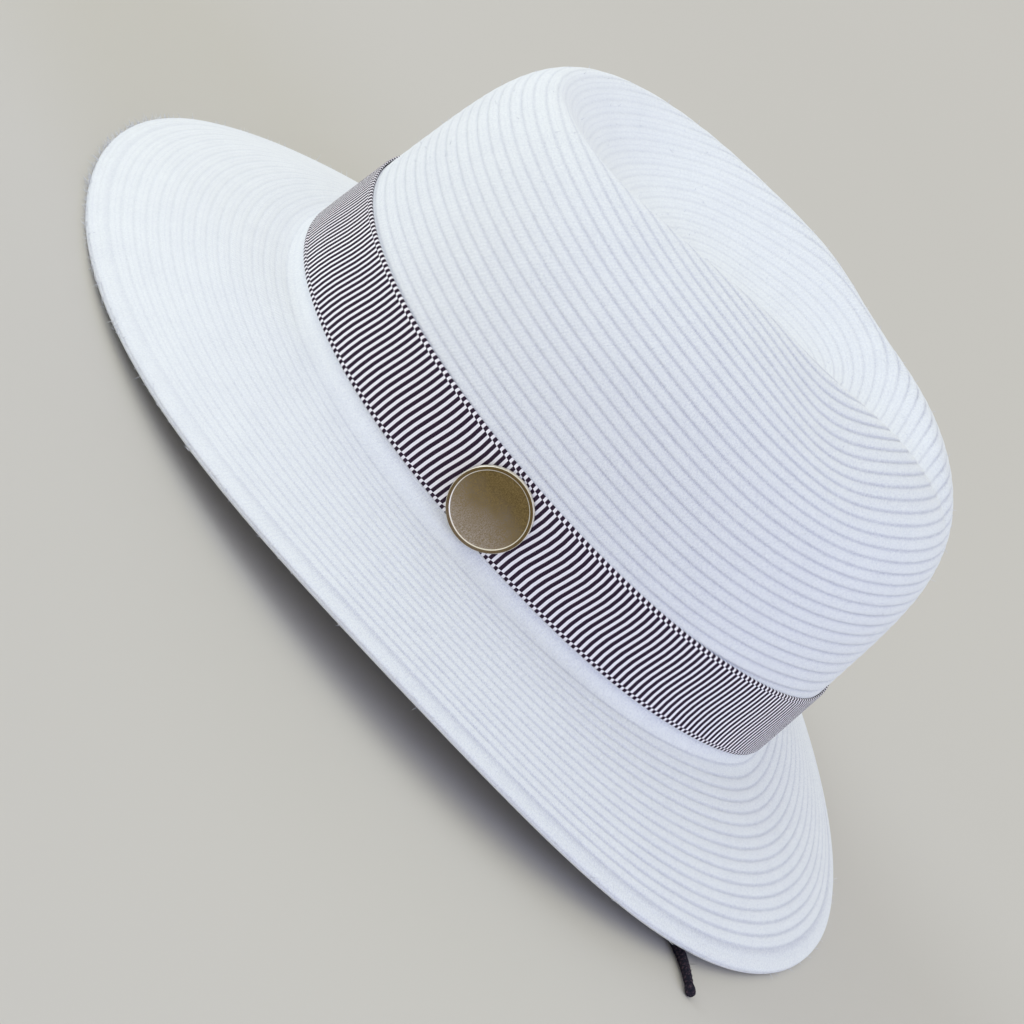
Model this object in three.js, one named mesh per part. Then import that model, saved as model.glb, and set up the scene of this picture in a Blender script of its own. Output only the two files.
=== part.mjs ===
// A straw fedora with a teardrop crown, a striped hat band and a round badge.
// Millimetres, +Z up. The hat rests on its brim at z = 0, its front faces -Y,
// and the wearer's right side, which carries the badge, faces -X.
import * as THREE from "three";

// Driving dimensions
const columns = 72; // columns round the hat, shared by every ring-shaped piece
const strawThickness = 2.0;
const gap = 0.3; // clearance between pieces that touch on the real hat
const footHeight = 33.2; // height of the fold between crown and brim
const collarHeight = 8.7; // brim straw that stands up behind the hat band
const foldRadius = 3.5; // rounding of that fold
const domeHeight = 94; // top of the dome above the fold, before it is dented
const frontSag = 10; // how much lower than level the dome runs towards the front
const backSag = 10.7; // and towards the back
const sagReach = 95; // where those two are measured from the middle
const tipHalfLength = 6; // half length of the oval centre of the braid
const bandWidth = 24.4;
const bandThickness = 0.6;
const bandFullness = 0.05; // how far the hat band stands off the straw at mid width
const sweatbandDrop = 2.0; // how far the sweatband reaches below the fold
const sweatbandHeight = 26;
const sweatbandThickness = 1.0;
const sweatbandClearance = 0.8; // it hangs a little off the leaning straw
const badgeDiameter = 24.2;
const badgeThickness = 1.6;
const badgeRimWidth = 1.2;
const badgeRimHeight = 0.35;
const badgeAngle = -94.5; // degrees from the front, negative on the wearer's right
const badgeHeight = 11.0; // badge centre above the fold
const badgeLean = 1; // degrees that the badge face looks up
const badgeStandOff = 0.36; // clearance between the hat band and the badge's middle
const cordDiameter = 3.0;
const tipDiameter = 3.0;
const tipLength = 3.2;
const flatEdge = 2.6; // width of the level strip under the brim's edge

// Outside of the straw at the fold: reach from the middle, by degrees from the front.
const headOval = [
  { angle: 0, reach: 95.2 },
  { angle: 45, reach: 89.8 },
  { angle: 90, reach: 83.6 },
  { angle: 135, reach: 93.2 },
  { angle: 180, reach: 95.6 },
];

// Shape of the crown's upright section. Squareness: 2 is an ellipse, more is squarer.
// Taper: share of its width that the section loses on its way up.
const crownSections = [
  { angle: 0, squareness: 5.3, taper: 0.041 },
  { angle: 45, squareness: 3.65, taper: 0.026 },
  { angle: 90, squareness: 3.1, taper: 0.004 },
  { angle: 135, squareness: 3.95, taper: 0.07 },
  { angle: 180, squareness: 6.5, taper: 0.061 },
];

// Brim edge: reach from the middle and height above the ground of its underside.
// Where the height comes out below zero the edge lies level on the ground.
const brimEdge = [
  { angle: 0, reach: 149.3, height: -0.4 },
  { angle: 45, reach: 144.2, height: 5.7 },
  { angle: 90, reach: 142.2, height: 12.6 },
  { angle: 135, reach: 148.0, height: 2.5 },
  { angle: 180, reach: 149.3, height: -0.4 },
];
const brimBow = 0.18; // share of the brim's fall that steepens towards the edge

// The fold dips at the front and at the back. The dip fades out on the way up to
// dipTop and on the way to the brim's edge.
const dips = [
  { angle: 0, depth: 4.6, narrowness: 24 },
  { angle: 180, depth: 2.3, narrowness: 8 },
];
const dipTop = 62; // height above the fold
const dipShare = 0.9; // share of the brim's width

// Teardrop dent, seen from above: round at the back, pointed at the front.
const dent = {
  depth: 22,
  halfWidth: 43.5,
  widestY: 39.8,
  frontY: -81.6,
  backY: 81.5,
  frontPower: 2,
  ridgeRounding: 0.09,
};

// Finger hollow below each ridge near the front.
const pinch = { depth: 3, x: 44, y: -42, spreadX: 14, spreadY: 24 };

// Where the rings of the crown lie: shares of the way from the foot to the ridge,
// and from the ridge to the tip.
const outerRise = [0, 0.15, 0.3, 0.45, 0.6, 0.72, 0.82, 0.9, 0.96, 1];
const outerDip = [0.05, 0.12, 0.22, 0.34, 0.48, 0.63, 0.8, 1];
const innerRise = [0, 0.13, 0.3, 0.6, 0.8, 0.92, 1];
const innerDip = [0.1, 0.25, 0.5, 0.75, 1];

// Where the rings of the brim lie: shares of the way from the fold to the edge.
const brimTopShares = [1, 0.82, 0.64, 0.46, 0.28, 0.13, 0.05, 0.02];
const brimUnderShares = [0.05, 0.2, 0.4, 0.6, 0.8];

// Route of the loose end of the drawstring: down from the sweatband, then out
// over the ground and under the brim's edge. Centre line, chosen by hand.
const cordRoute = [
  [-51.0, -70.2, 30.0],
  [-51.1, -70.4, 24.8],
  [-51.4, -70.8, 19.0],
  [-52.2, -72.0, 13.4],
  [-54.1, -74.6, 8.4],
  [-57.2, -78.8, 4.6],
  [-61.2, -84.0, 2.3],
  [-65.6, -89.6, 1.7],
  [-69.8, -95.7, 1.6],
  [-73.3, -101.9, 1.6],
  [-76.5, -108.0, 1.6],
  [-79.8, -113.7, 1.6],
  [-83.7, -118.5, 1.6],
  [-88.4, -122.1, 1.6],
  [-93.5, -125.2, 1.6],
];
const cordSteps = 34;

// Sides of the round pieces.
const badgeSides = 40;
const cordSides = 8;
const tipSides = 12;

const colours = {
  straw: 0xe8ecf2,
  band: 0x7a6f7e,
  sweatband: 0xdcdad6,
  brass: 0x8f7c4e,
  cord: 0x2b2a3a,
};

const radians = (degrees) => (degrees * Math.PI) / 180;

// A smooth even curve round the hat through values given every 45 degrees from
// the front to the back: the sum of cosines that meets them all.
function roundTheHat(table, column, angle) {
  const last = table.length - 1;
  let total = 0;
  for (let wave = 0; wave <= last; wave++) {
    let weight = 0;
    table.forEach((row, i) => {
      const share = i === 0 || i === last ? 0.5 : 1;
      weight += share * row[column] * Math.cos((wave * i * Math.PI) / last);
    });
    const ends = wave === 0 || wave === last ? 1 : 2;
    total += ((ends * weight) / last) * Math.cos(wave * angle);
  }
  return total;
}

const angleOf = (column) => (column / columns) * 2 * Math.PI;
const direction = (angle) => new THREE.Vector2(Math.sin(angle), -Math.cos(angle));
const headReach = (angle) => roundTheHat(headOval, "reach", angle);
const brimWidth = (angle) => roundTheHat(brimEdge, "reach", angle) - headReach(angle);

// A place in the plan between the oval centre of the braid and the head oval: the
// spread is its share of the way out.
function planAt(angle, spread) {
  const tip = new THREE.Vector2(0, -tipHalfLength * Math.cos(angle));
  return direction(angle).multiplyScalar(headReach(angle)).lerp(tip, 1 - spread);
}

// A place on the straw's outside at a height above the fold, moved out by an
// offset: the crown's upright section leans in a little as it rises.
function wallAt(angle, rise, offset) {
  const squareness = roundTheHat(crownSections, "squareness", angle);
  const share = Math.max(rise, 0) / domeHeight;
  const left = 1 - roundTheHat(crownSections, "taper", angle) * share;
  const spread = left * (1 - share ** squareness) ** (1 / squareness);
  const place = planAt(angle, spread).addScaledVector(direction(angle), offset);
  return new THREE.Vector3(place.x, place.y, footHeight + rise);
}

// Lowers a point by its part of the dips.
function settle(point) {
  const angle = Math.atan2(point.x, -point.y);
  const out = Math.hypot(point.x, point.y) - headReach(angle);
  const spreading = 1 - THREE.MathUtils.smoothstep(out, 0, dipShare * brimWidth(angle));
  const rising = 1 - THREE.MathUtils.smoothstep(point.z - footHeight, bandWidth, dipTop);
  dips.forEach((dip) => {
    const nearness = (1 + Math.cos(angle - radians(dip.angle))) / 2;
    point.z -= dip.depth * nearness ** dip.narrowness * spreading * rising;
  });
  return point;
}

// One ring of points, a column at a time, from a function of the angle.
function ring(pointAt) {
  return Array.from({ length: columns }, (_, column) => settle(pointAt(angleOf(column))));
}

// A solid from rings of points. Each ring is joined to the next, running up on
// the outside and down on the inside, and the last to the first if it closes.
function ringSolid(rings, closes) {
  const positions = rings.flat().flatMap((point) => [point.x, point.y, point.z]);
  const triangles = [];
  const bands = closes ? rings.length : rings.length - 1;
  for (let band = 0; band < bands; band++) {
    const low = band * columns;
    const high = ((band + 1) % rings.length) * columns;
    for (let column = 0; column < columns; column++) {
      const next = (column + 1) % columns;
      triangles.push(low + column, low + next, high + next);
      triangles.push(low + column, high + next, high + column);
    }
  }
  const geometry = new THREE.BufferGeometry();
  geometry.setAttribute("position", new THREE.Float32BufferAttribute(positions, 3));
  geometry.setIndex(triangles);
  geometry.computeVertexNormals();
  return geometry;
}

// How far inside the teardrop a place in the plan lies: 1 at the deepest place,
// 0 on the ridge and below 0 outside it.
function insideDent(x, y) {
  const across = (x / dent.halfWidth) ** 2;
  if (y >= dent.widestY) {
    const along = (y - dent.widestY) / (dent.backY - dent.widestY);
    return 1 - along ** 2 - across;
  }
  const along = (dent.widestY - y) / (dent.widestY - dent.frontY);
  const taper = 1 - along ** dent.frontPower;
  const sharpest = 0.03; // keeps the point of the teardrop, and what is in front of it, finite
  return taper - across / Math.max(taper, sharpest);
}

function dentDepth(x, y) {
  const inside = insideDent(x, y);
  return (dent.depth * (inside + Math.hypot(inside, dent.ridgeRounding))) / 2;
}

function pinchDepth(x, y, rise) {
  const across = (Math.abs(x) - pinch.x) / pinch.spreadX;
  const along = (y - pinch.y) / pinch.spreadY;
  return pinch.depth * Math.exp(-(across ** 2) - along ** 2) * (rise / domeHeight) ** 2;
}

// The dome isn't level: it runs down towards the front and the back.
function sag(y, rise) {
  const most = y < 0 ? frontSag : backSag;
  return most * (y / sagReach) ** 2 * (rise / domeHeight) ** 2;
}

// The crown's section at one angle, from the fold to the tip: a superellipse that
// tapers upwards, between the head oval and the oval centre of the braid. It is
// measured along its length.
function crownSection(angle) {
  const samples = 160;
  const power = 2 / roundTheHat(crownSections, "squareness", angle);
  const taper = roundTheHat(crownSections, "taper", angle);
  const span = planAt(angle, 1).distanceTo(planAt(angle, 0));
  const table = [];
  let length = 0;
  for (let i = 0; i <= samples; i++) {
    const turn = ((i / samples) * Math.PI) / 2;
    const upness = Math.sin(turn) ** power;
    const rise = domeHeight * upness;
    const spread = i === samples ? 0 : Math.cos(turn) ** power * (1 - taper * upness);
    if (i > 0) {
      const before = table[i - 1];
      length += Math.hypot((spread - before.spread) * span, rise - before.rise);
    }
    table.push({ spread, rise, length });
  }
  // the dome's place at a share of the section's length
  const domeAt = (share) => {
    const wanted = Math.min(Math.max(share, 0), 1) * length;
    let i = table.findIndex((row) => row.length >= wanted);
    i = Math.max(i, 1);
    const part = (wanted - table[i - 1].length) / (table[i].length - table[i - 1].length);
    const spread = THREE.MathUtils.lerp(table[i - 1].spread, table[i].spread, part);
    const rise = THREE.MathUtils.lerp(table[i - 1].rise, table[i].rise, part);
    const place = planAt(angle, spread);
    return new THREE.Vector3(place.x, place.y, rise);
  };
  const pointAt = (share) => {
    const place = domeAt(share);
    const { x, y, z: rise } = place;
    const sunk = sag(y, rise) + dentDepth(x, y) + pinchDepth(x, y, rise);
    return new THREE.Vector3(x, y, footHeight + rise - sunk);
  };
  // the share at which the section crosses the ridge, by halving
  let below = 0;
  let above = 1;
  while (above - below > 1e-6) {
    const middle = (below + above) / 2;
    const place = domeAt(middle);
    if (insideDent(place.x, place.y) > 0) above = middle;
    else below = middle;
  }
  return { pointAt, length, ridgeShare: above };
}

// Unit normal of the crown's outside, from small steps along and across it.
function crownNormal(angle, share) {
  const turn = 0.004;
  const step = 0.002;
  const here = crownSection(angle);
  const across = crownSection(angle + turn)
    .pointAt(share)
    .sub(crownSection(angle - turn).pointAt(share));
  const up = here
    .pointAt(Math.min(share + step, 1))
    .sub(here.pointAt(Math.max(share - step, 0)));
  return across.cross(up).normalize();
}

function makeCrown() {
  const lowestRise = collarHeight + gap;
  const shares = (section, rise, dip) => {
    const start = lowestRise / section.length;
    const ridge = section.ridgeShare;
    const low = rise.map((part) => start + (ridge - start) * part);
    const high = dip.map((part) => ridge + (1 - ridge) * part);
    return low.concat(high);
  };
  const level = (point) => point.setZ(footHeight + lowestRise);
  const outer = (index) =>
    ring((angle) => {
      const section = crownSection(angle);
      const point = section.pointAt(shares(section, outerRise, outerDip)[index]);
      return index === 0 ? level(point) : point;
    });
  const inner = (index) =>
    ring((angle) => {
      const section = crownSection(angle);
      const share = shares(section, innerRise, innerDip)[index];
      const point = section.pointAt(share);
      // at the foot and at the tip the wall is measured level and upright
      let wayIn = crownNormal(angle, share).negate();
      if (index === 0) wayIn = new THREE.Vector3(-Math.sin(angle), Math.cos(angle), 0);
      if (share === 1) wayIn = new THREE.Vector3(0, 0, -1);
      point.addScaledVector(wayIn, strawThickness);
      return index === 0 ? level(point) : point;
    });
  const innerCount = innerRise.length + innerDip.length;
  const outerCount = outerRise.length + outerDip.length;
  const rings = [];
  for (let index = innerCount - 1; index >= 0; index--) rings.push(inner(index));
  for (let index = 0; index < outerCount; index++) rings.push(outer(index));
  return ringSolid(rings, false);
}

// Height of the brim's top at a distance outside the fold: it falls to the edge,
// a little more steeply as it goes, and turns up into the fold.
function brimTop(angle, out) {
  const width = brimWidth(angle);
  const edge = Math.max(roundTheHat(brimEdge, "height", angle), 0) + strawThickness;
  const share = out / width;
  const fall = footHeight - foldRadius - edge;
  const slope = share * (1 - brimBow) + share ** 2 * brimBow;
  const left = Math.max(foldRadius - out, 0) / foldRadius;
  const fold = foldRadius * (1 - Math.sqrt(1 - left ** 2));
  return footHeight - foldRadius - fall * slope + fold;
}

function makeBrim() {
  const at = (angle, reach, height) => {
    const out = direction(angle).multiplyScalar(reach);
    return new THREE.Vector3(out.x, out.y, height);
  };
  const underEdge = (angle) => Math.max(roundTheHat(brimEdge, "height", angle), 0);
  const top = (share) =>
    ring((angle) => {
      const out = brimWidth(angle) * share;
      return at(angle, headReach(angle) + out, brimTop(angle, out));
    });
  // the underside lies straight below the top, by the wall's slanted thickness
  const under = (share) =>
    ring((angle) => {
      const out = (brimWidth(angle) - flatEdge) * share;
      const small = 0.5;
      const steepest = 0.6; // the fold itself is steeper, but its underside isn't
      const slope = (brimTop(angle, out + small) - brimTop(angle, out)) / small;
      const thickness = strawThickness * Math.hypot(1, Math.min(Math.abs(slope), steepest));
      const height = brimTop(angle, out) - thickness;
      return at(angle, headReach(angle) + out, Math.max(height, underEdge(angle)));
    });
  const wall = (inset, rise) => ring((angle) => wallAt(angle, rise, -inset));
  const edge = (inset) =>
    ring((angle) => at(angle, headReach(angle) + brimWidth(angle) - inset, underEdge(angle)));
  const rings = [
    edge(0),
    ...brimTopShares.map(top),
    wall(0, 0),
    wall(0, collarHeight),
    wall(strawThickness, collarHeight),
    wall(strawThickness, -foldRadius),
    ...brimUnderShares.map(under),
    edge(flatEdge),
  ];
  return ringSolid(rings, true);
}

// A band round the head between two heights above the fold, its thickness outside a
// clearance from the straw's outside, and fuller by a little at mid height.
function makeBand(clearance, thickness, low, high, fullness) {
  const level = (offset, rise) => ring((angle) => wallAt(angle, rise, offset));
  const middle = (low + high) / 2;
  return ringSolid(
    [
      level(clearance, high),
      level(clearance + fullness, middle),
      level(clearance, low),
      level(clearance + thickness, low),
      level(clearance + thickness + fullness, middle),
      level(clearance + thickness, high),
    ],
    true,
  );
}

function makeBadge() {
  const radius = badgeDiameter / 2;
  const face = badgeThickness;
  const rim = badgeThickness + badgeRimHeight;
  const profile = [
    [0, 0],
    [radius - 0.3, 0],
    [radius, 0.3],
    [radius, rim - 0.2],
    [radius - 0.25, rim],
    [radius - badgeRimWidth + 0.25, rim],
    [radius - badgeRimWidth, face],
    [0, face],
  ].map(([reach, height]) => new THREE.Vector2(reach, height));
  return new THREE.LatheGeometry(profile, badgeSides);
}

function makeCord() {
  const radius = cordDiameter / 2;
  const section = new THREE.Shape();
  for (let side = 0; side < cordSides; side++) {
    const turn = (side / cordSides) * 2 * Math.PI;
    const x = radius * Math.cos(turn);
    const y = radius * Math.sin(turn);
    if (side === 0) section.moveTo(x, y);
    else section.lineTo(x, y);
  }
  section.closePath();
  const route = cordRoute.map((point) => new THREE.Vector3(...point));
  const extrudePath = new THREE.CatmullRomCurve3(route, false, "centripetal");
  return new THREE.ExtrudeGeometry(section, { steps: cordSteps, extrudePath });
}

function makeTip() {
  const radius = tipDiameter / 2;
  const profile = [
    [0, 0],
    [radius - 0.5, 0],
    [radius, 0.6],
    [radius, tipLength - 1.0],
    [radius - 0.7, tipLength],
    [0, tipLength],
  ].map(([reach, height]) => new THREE.Vector2(reach, height));
  return new THREE.LatheGeometry(profile, tipSides);
}

function piece(name, geometry, colour, roughness, metalness = 0) {
  const material = new THREE.MeshStandardMaterial({ color: colour, roughness, metalness });
  const mesh = new THREE.Mesh(geometry, material);
  mesh.name = name;
  return mesh;
}

// Turns a piece made round the Y axis so that this axis points along a vector.
function point(mesh, along) {
  mesh.quaternion.setFromUnitVectors(new THREE.Vector3(0, 1, 0), along.clone().normalize());
  return mesh;
}

const hat = new THREE.Group();

hat.add(piece("crown", makeCrown(), colours.straw, 0.85));
hat.add(piece("brim", makeBrim(), colours.straw, 0.85));

const bandGeometry = makeBand(gap, bandThickness, 0, bandWidth, bandFullness);
hat.add(piece("ribbon_band", bandGeometry, colours.band, 0.8));

const sweatbandInset = -strawThickness - sweatbandClearance - sweatbandThickness;
const sweatbandGeometry = makeBand(
  sweatbandInset,
  sweatbandThickness,
  -sweatbandDrop,
  sweatbandHeight - sweatbandDrop,
  0,
);
hat.add(piece("sweatband", sweatbandGeometry, colours.sweatband, 0.9));

// The badge stands on the hat band at its own angle, its back square to the band.
const badge = piece("badge", makeBadge(), colours.brass, 0.42, 0.9);
const badgeTurn = radians(badgeAngle);
const small = 0.01;
const alongBand = wallAt(badgeTurn + small, badgeHeight, 0)
  .sub(wallAt(badgeTurn - small, badgeHeight, 0))
  .normalize();
const outOfBand = new THREE.Vector3(alongBand.y, -alongBand.x, 0);
const badgeFacing = outOfBand
  .clone()
  .multiplyScalar(Math.cos(radians(badgeLean)))
  .add(new THREE.Vector3(0, 0, Math.sin(radians(badgeLean))));
badge.position
  .copy(wallAt(badgeTurn, badgeHeight, 0))
  .addScaledVector(outOfBand, gap + bandThickness + bandFullness + badgeStandOff);
hat.add(point(badge, badgeFacing));

hat.add(piece("drawstring", makeCord(), colours.cord, 0.9));

const tip = piece("drawstring_tip", makeTip(), colours.cord, 0.6);
const cordEnd = new THREE.Vector3(...cordRoute.at(-1));
const cordBefore = new THREE.Vector3(...cordRoute.at(-2));
const cordWay = cordEnd.clone().sub(cordBefore).normalize();
tip.position.copy(cordEnd).addScaledVector(cordWay, gap);
tip.position.z = tipDiameter / 2 + 0.1;
hat.add(point(tip, new THREE.Vector3(cordWay.x, cordWay.y, 0)));

export default hat;
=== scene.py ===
import math

import bpy
import numpy as np
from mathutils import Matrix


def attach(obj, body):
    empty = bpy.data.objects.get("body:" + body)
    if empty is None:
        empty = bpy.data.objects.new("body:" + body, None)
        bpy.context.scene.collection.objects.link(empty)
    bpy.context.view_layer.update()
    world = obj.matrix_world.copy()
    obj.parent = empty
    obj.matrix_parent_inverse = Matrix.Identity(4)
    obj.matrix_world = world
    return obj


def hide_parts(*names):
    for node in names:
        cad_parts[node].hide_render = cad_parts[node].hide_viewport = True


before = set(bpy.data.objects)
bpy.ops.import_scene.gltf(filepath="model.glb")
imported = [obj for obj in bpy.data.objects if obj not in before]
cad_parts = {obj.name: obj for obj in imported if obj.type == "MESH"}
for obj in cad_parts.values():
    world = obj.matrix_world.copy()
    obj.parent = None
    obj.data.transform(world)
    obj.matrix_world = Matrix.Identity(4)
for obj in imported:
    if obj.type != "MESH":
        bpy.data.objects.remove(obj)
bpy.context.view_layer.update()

# A white straw fedora, sewn from one narrow braid, with a striped ribbon, a plain
# brass badge and the end of its drawstring. Metres, +Z up, front -Y.
scene = bpy.context.scene
scene.view_settings.view_transform = "Standard"


# Camera: it looks at the middle of the fold between crown and brim, and is rolled
# as the photograph shows the hat. One metre there is pixelsPerMetre long in a
# picture of 1024 pixels, in which that middle falls on centrePixel.
camera = {
    "azimuth": 267.536,
    "elevation": 19.946,
    "roll": -50.233,
    "distance": 2.0,
    "pixelsPerMetre": 3602.0,
    "centrePixel": (552.2, 471.8),
    "pictureSide": 1024,
    "sensorWidth": 36.0,
}

hat = {
    "footHeight": 0.0332,  # the fold between crown and brim
    "bandWidth": 0.0244,
    "collarHeight": 0.0087,
    "foldRadius": 0.0035,
    "domeHeight": 0.094,
    "frontSag": 0.010,
    "backSag": 0.0107,
    "sagReach": 0.095,
    "tipHalfLength": 0.006,
    "rowsMiddle": -0.005,
    "rowsHalfLength": 0.014,
    "dipTop": 0.062,  # the dips of the fold fade out up to here above it
    "dipShare": 0.9,  # and over this share of the brim's width
    "strawThickness": 0.002,
    "brimBow": 0.18,
    "dentDepth": 0.022,
    "dentHalfWidth": 0.0435,
    "dentWidestY": 0.0398,
    "dentFrontY": -0.0816,
    "dentBackY": 0.0815,
    "ridgeRounding": 0.09,
    "pinchDepth": 0.0042,
    "pinchPlace": (0.044, -0.042),
    "pinchSpread": (0.014, 0.024),
}

# Measures round the hat, given at 0, 45, 90, 135 and 180 degrees from the front.
headReach = (0.0952, 0.0898, 0.0836, 0.0932, 0.0956)
crownSquareness = (5.3, 3.65, 3.1, 3.95, 6.5)
crownTaper = (0.041, 0.026, 0.004, 0.07, 0.061)
brimReach = (0.1493, 0.1442, 0.1422, 0.148, 0.1493)
brimEdgeHeight = (-0.0004, 0.0057, 0.0126, 0.0025, -0.0004)
dips = ((0.0, 0.0046, 24), (math.pi, 0.0023, 8))  # where the fold dips, how deeply, how narrowly


def addCamera():
    turn, lift, roll = (math.radians(camera[k]) for k in ("azimuth", "elevation", "roll"))
    back = np.array((math.sin(turn) * math.cos(lift), -math.cos(turn) * math.cos(lift), math.sin(lift)))
    right = np.cross((0, 0, 1), back)
    right /= np.linalg.norm(right)
    up = np.cross(back, right)
    sideways = math.cos(roll) * right - math.sin(roll) * up
    upwards = math.sin(roll) * right + math.cos(roll) * up
    target = np.array((0, 0, hat["footHeight"]))
    place = np.eye(4)
    place[:3, 0], place[:3, 1], place[:3, 2] = sideways, upwards, back
    place[:3, 3] = target + back * camera["distance"]
    data = bpy.data.cameras.new("camera")
    side = camera["pictureSide"]
    data.sensor_width = camera["sensorWidth"]
    data.lens = camera["sensorWidth"] * camera["pixelsPerMetre"] * camera["distance"] / side
    data.shift_x = -(camera["centrePixel"][0] - side / 2) / side
    data.shift_y = (camera["centrePixel"][1] - side / 2) / side
    data.clip_end = 50
    made = bpy.data.objects.new("camera", data)
    made.matrix_world = place.T.tolist()
    scene.collection.objects.link(made)
    scene.camera = made


addCamera()
print("camera set")


# Surfaces. A surface is a grid of points, rings by columns: the columns run round
# the hat, or round a tube, and each ring is joined to the next.
def unit(vectors):
    return vectors / np.maximum(np.linalg.norm(vectors, axis=-1, keepdims=True), 1e-12)


def surfaceNormals(points):
    # the cross product of the steps round the grid and along it
    around = np.roll(points, -1, axis=1) - np.roll(points, 1, axis=1)
    along = np.gradient(points, axis=0)
    return unit(np.cross(around, along))


def gridPiece(name, points, stitches, rows, closed=False, slits=(), rowDepth=None):
    # points: rings x columns x 3. Between ring k and the next one the UV runs from
    # 0 to stitches[k] round the hat and from rows[k, 0] to rows[k, 1] along it.
    # In a ring named in slits, columns that mirror each other are one point.
    rings, columns = points.shape[:2]
    index = np.arange(rings * columns).reshape(rings, columns)
    for ring in slits:
        column = np.arange(columns)
        index[ring] = index[ring, np.minimum(column, columns - column) % columns]
    upper = np.roll(index, -1, axis=0) if closed else index[1:]
    lower = index if closed else index[:-1]
    quads = np.stack([lower, np.roll(lower, -1, 1), np.roll(upper, -1, 1), upper], axis=-1)
    column = np.arange(columns) / columns
    across = np.stack([column, column + 1 / columns, column + 1 / columns, column], axis=-1)
    u = np.asarray(stitches, float)[:, None, None] * across[None]
    v = np.broadcast_to(np.asarray(rows, float)[:, None, [0, 0, 1, 1]], u.shape)
    used, quads = np.unique(quads, return_inverse=True)
    made = meshPiece(name, points.reshape(-1, 3)[used], quads.reshape(-1, 4), np.stack([u, v], -1))
    if rowDepth is not None:
        layer = made.data.attributes.new("rowDepth", "FLOAT", "POINT")
        layer.data.foreach_set("value", np.asarray(rowDepth, np.float32).ravel()[used])
    return made


def meshPiece(name, points, faces, uv=None):
    # points: n x 3, faces: m x corners, uv: one pair for each corner
    mesh = bpy.data.meshes.new(name)
    corners = faces.shape[1]
    mesh.vertices.add(len(points))
    mesh.vertices.foreach_set("co", np.asarray(points, np.float32).ravel())
    mesh.loops.add(faces.size)
    mesh.loops.foreach_set("vertex_index", faces.astype(np.int32).ravel())
    mesh.polygons.add(len(faces))
    mesh.polygons.foreach_set("loop_start", np.arange(0, faces.size, corners, dtype=np.int32))
    mesh.polygons.foreach_set("use_smooth", np.ones(len(faces), bool))
    mesh.update(calc_edges=True)
    if uv is not None:
        layer = mesh.uv_layers.new(name="weave")
        layer.data.foreach_set("uv", np.asarray(uv, np.float32).ravel())
    mesh.validate()
    made = bpy.data.objects.new(name, mesh)
    scene.collection.objects.link(made)
    return made


def finishPiece(piece, material, slot, *nodes):
    piece.data.materials.append(material)
    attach(piece, "root")
    if nodes:
        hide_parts(*nodes)
    print(piece.name, "made,", len(piece.data.polygons), "faces")


# Shader maths. A Wire is one output of a material's node tree, and a sum or a
# product of wires adds its Math node.
class Wire:
    def __init__(self, tree, socket=None):
        self.tree = tree
        self.socket = socket

    def node(self, kind, settings=None, inputs=None, output=0):
        # any node: its settings are set first, then the values or links of its sockets
        made = self.tree.nodes.new(kind)
        for name, value in (settings or {}).items():
            setattr(made, name, value)
        for name, value in (inputs or {}).items():
            if isinstance(value, Wire):
                self.tree.links.new(value.socket, made.inputs[name])
            else:
                made.inputs[name].default_value = value
        return Wire(self.tree, made.outputs[output] if len(made.outputs) else None)

    def maths(self, operation, *values):
        return self.node("ShaderNodeMath", {"operation": operation}, dict(enumerate(values)))

    def __add__(self, other):
        return self.maths("ADD", self, other)

    def __radd__(self, other):
        return self.maths("ADD", other, self)

    def __sub__(self, other):
        return self.maths("SUBTRACT", self, other)

    def __rsub__(self, other):
        return self.maths("SUBTRACT", other, self)

    def __mul__(self, other):
        return self.maths("MULTIPLY", self, other)

    def __truediv__(self, other):
        return self.maths("DIVIDE", self, other)

    def __pow__(self, other):
        return self.maths("POWER", self, other)

    def sine(self):
        return self.maths("SINE", self)

    def fraction(self):
        return self.maths("FRACT", self)

    def floor(self):
        return self.maths("FLOOR", self)

    def size(self):
        return self.maths("ABSOLUTE", self)

    def least(self, other):
        return self.maths("MINIMUM", self, other)

    def most(self, other):
        return self.maths("MAXIMUM", self, other)

    def rise(self, start, end):
        # 0 before start and 1 after end, smooth between them; where start is the
        # larger of the two, it falls from 1 to 0
        if start > end:
            return 1 - self.rise(end, start)
        settings = {"interpolation_type": "SMOOTHSTEP"}
        inputs = {"Value": self, "From Min": start, "From Max": end}
        return self.node("ShaderNodeMapRange", settings, inputs)

    def blend(self, first, second):
        # this wire is the share of the second colour
        inputs = {0: self}
        for place, colour in ((6, first), (7, second)):
            inputs[place] = colour if isinstance(colour, Wire) else (*colour, 1)
        return self.node("ShaderNodeMix", {"data_type": "RGBA"}, inputs, 2)

    def parts(self):
        return tuple(self.node("ShaderNodeSeparateXYZ", {}, {0: self}, k) for k in range(3))

    def noise(self, scale, detail=2.0, roughness=0.5):
        inputs = {"Vector": self, "Scale": scale, "Detail": detail, "Roughness": roughness}
        return self.node("ShaderNodeTexNoise", {}, inputs)


def startMaterial(name):
    material = bpy.data.materials.new(name)
    material.use_nodes = True
    tree = material.node_tree
    tree.nodes.clear()
    return material, Wire(tree)


def endMaterial(material, start, settings, height=None, distance=0.0001):
    inputs = dict(settings)
    if height is not None:
        bump = {"Height": height, "Strength": 1.0, "Distance": distance}
        inputs["Normal"] = start.node("ShaderNodeBump", {}, bump)
    surface = start.node("ShaderNodeBsdfPrincipled", {}, inputs)
    start.node("ShaderNodeOutputMaterial", {}, {"Surface": surface})
    return material


def weaveMap(start):
    return start.node("ShaderNodeUVMap", {"uv_map": "weave"}).parts()


def placeInHat(start):
    return start.node("ShaderNodeTexCoord", {}, {}, 3)


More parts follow.
